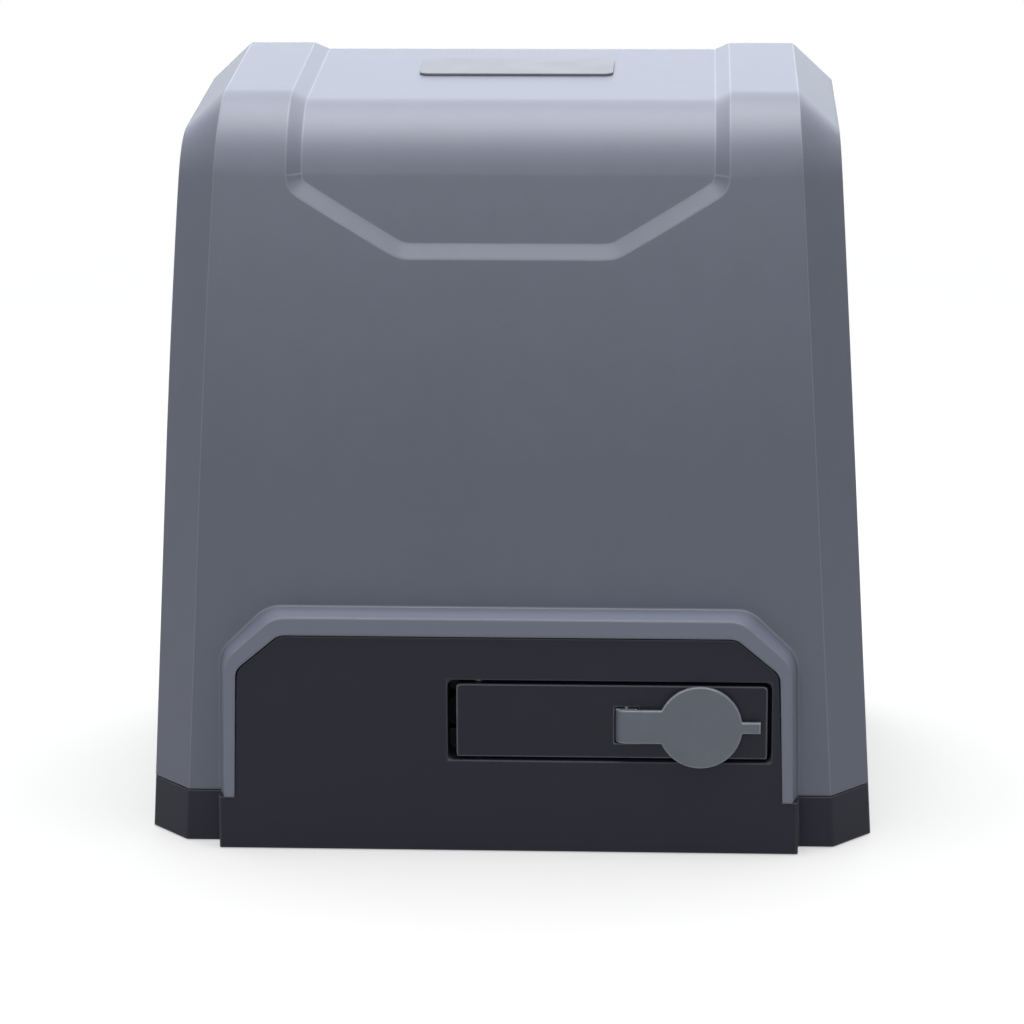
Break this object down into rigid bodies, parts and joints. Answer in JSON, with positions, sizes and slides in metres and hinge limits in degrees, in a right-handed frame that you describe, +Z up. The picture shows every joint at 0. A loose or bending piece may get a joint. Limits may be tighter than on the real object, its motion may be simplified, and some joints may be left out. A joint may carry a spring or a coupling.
{
  "type": "sliding gate motor",
  "caption": "Rack-drive gate operator: lift-off grey cover over a dark base, locked release lever, worm gearbox, dog clutch, motor, control board and rear pinion.",
  "frame": {"origin": "centre of the four anchor slots on the underside of the base", "axes": "+Z up, -Y towards the release lever, +Y towards the gate and along the output shaft"},
  "size_m": [0.3, 0.2297, 0.308],
  "materials": {
    "badge_grey": "smooth satin grey plate",
    "base_dark": "finely textured charcoal moulding",
    "black_rubber": "black rubber",
    "blackened_steel": "oil-blackened steel",
    "board_green": "green solder mask on glass fibre",
    "bronze": "cast bronze with cut teeth",
    "button_grey": "pale press buttons",
    "can_white": "white plastic capacitor can",
    "cap_grey": "satin mid grey moulding",
    "cast_aluminium": "as-cast alloy",
    "chip_black": "black moulded parts",
    "copper": "enamelled copper winding",
    "core_steel": "laminated electrical steel",
    "cover_grey": "finely textured mid grey moulding",
    "gasket_paper": "compressed fibre gasket",
    "lamp_red": "tinted indicator lamps",
    "lever_dark": "near-black satin moulding",
    "lock_chrome": "nickel-plated",
    "relay_blue": "blue sealed relays",
    "seal_rubber": "black foam rubber cord",
    "shell_paint": "black painted steel tube",
    "spring_arm": "sprung steel arm with a roller",
    "spring_steel": "oiled spring wire",
    "steel": "ground steel",
    "terminal_green": "green terminal blocks",
    "tray_plastic": "light grey moulded tray",
    "zinc_steel": "zinc-plated steel"
  },
  "bodies": {
    "frame": {"base_housing": "base_dark", "board_components": "chip_black", "board_screws": "zinc_steel", "board_tray": "tray_plastic", "cable_grommet": "black_rubber", "capacitor_clip": "chip_black", "clutch_spring": "spring_steel", "control_board": "board_green", "cover_screws": "zinc_steel", "cover_seal": "seal_rubber", "front_bearing": "steel", "gearcase_body": "cast_aluminium", "gearcase_bolts": "zinc_steel", "gearcase_cover": "cast_aluminium", "gearcase_gasket": "gasket_paper", "levelling_screws": "zinc_steel", "lever_hinge_pin": "zinc_steel", "limit_bracket": "zinc_steel", "limit_switch": "chip_black", "motor_cap": "cast_aluminium", "motor_flange": "cast_aluminium", "motor_shaft_seal": "black_rubber", "motor_shell": "shell_paint", "motor_tie_bolts": "zinc_steel", "motor_top_bearing": "steel", "output_seal": "black_rubber", "rear_bearing": "steel", "relays": "relay_blue", "run_capacitor": "can_white", "stator_core": "core_steel", "stator_windings": "copper", "status_lamps": "lamp_red", "terminal_blocks": "terminal_green", "transformer_coil": "copper", "transformer_core": "core_steel", "worm_lower_bearing": "steel", "worm_upper_bearing": "steel"},
    "cover": {"cover": "cover_grey", "badge_plate": "badge_grey"},
    "lever": {"release_lever": "lever_dark", "lock_barrel": "lock_chrome", "cap_hinge_pin": "zinc_steel"},
    "keyhole_cap": {"keyhole_cap": "cap_grey"},
    "lock": {"lock_core": "lock_chrome", "lock_tongue": "zinc_steel"},
    "rotor": {"worm_shaft": "steel", "rotor_core": "core_steel"},
    "wheel": {"worm_wheel": "bronze"},
    "output": {"output_shaft": "steel", "pinion": "zinc_steel", "pinion_key": "steel", "pinion_washer": "zinc_steel", "pinion_bolt": "zinc_steel"},
    "clutch": {"clutch_ring": "steel", "cross_pin": "steel", "release_rod": "blackened_steel"},
    "limit": {"limit_arm": "spring_arm"},
    "button_a": {"open_button": "button_grey"},
    "button_b": {"close_button": "button_grey"},
    "button_c": {"learn_button": "button_grey"}
  },
  "joints": [
    {"name": "cover_lift", "type": "slide", "parent": "frame", "child": "cover", "axis": [0, 0, 1], "range_m": [0, 0.25]},
    {"name": "release_lever", "type": "hinge", "parent": "frame", "child": "lever", "pos_m": [-0.012, -0.0937, 0.05531], "axis": [0, -0.0523, -0.9986], "range_deg": [0, 90]},
    {"name": "keyhole_cap", "type": "hinge", "parent": "lever", "child": "keyhole_cap", "pos_m": [0.0487, -0.09877, 0.05417], "axis": [0, -0.0523, -0.9986], "range_deg": [0, 90]},
    {"name": "lock_core", "type": "hinge", "parent": "lever", "child": "lock", "pos_m": [0.0788, -0.10017, 0.05424], "axis": [0, -0.9986, 0.0523], "range_deg": [0, 90]},
    {"name": "rotor_spin", "type": "hinge", "parent": "frame", "child": "rotor", "pos_m": [0.0275, 0.02, 0.056], "axis": [0, 0, 1], "continuous": true},
    {"name": "worm_wheel_spin", "type": "hinge", "parent": "frame", "child": "wheel", "pos_m": [-0.02, 0.02, 0.056], "axis": [0, 1, 0], "continuous": true},
    {"name": "output_spin", "type": "hinge", "parent": "frame", "child": "output", "pos_m": [-0.02, 0.02, 0.056], "axis": [0, 1, 0], "continuous": true},
    {"name": "clutch_slide", "type": "slide", "parent": "output", "child": "clutch", "axis": [0, 1, 0], "range_m": [0, 0.006], "deforming": ["clutch_spring"]},
    {"name": "limit_arm", "type": "hinge", "parent": "frame", "child": "limit", "pos_m": [-0.047, 0.0764, 0.122], "axis": [0, 0, 1], "range_deg": [-25, 25], "stiffness_Nm_per_rad": 0.05},
    {"name": "open_button", "type": "slide", "parent": "frame", "child": "button_a", "axis": [0, 1, 0], "range_m": [0, 0.0005], "stiffness_N_per_m": 200},
    {"name": "close_button", "type": "slide", "parent": "frame", "child": "button_b", "axis": [0, 1, 0], "range_m": [0, 0.0005], "stiffness_N_per_m": 200},
    {"name": "learn_button", "type": "slide", "parent": "frame", "child": "button_c", "axis": [0, 1, 0], "range_m": [0, 0.0005], "stiffness_N_per_m": 200}
  ],
  "couplings": [
    {"joint": "worm_wheel_spin", "follows": "rotor_spin", "ratio": 0.033333},
    {"joint": "output_spin", "follows": "rotor_spin", "ratio": 0.033333},
    {"joint": "clutch_slide", "follows": "release_lever", "m_per_rad": 0.0038197}
  ]
}
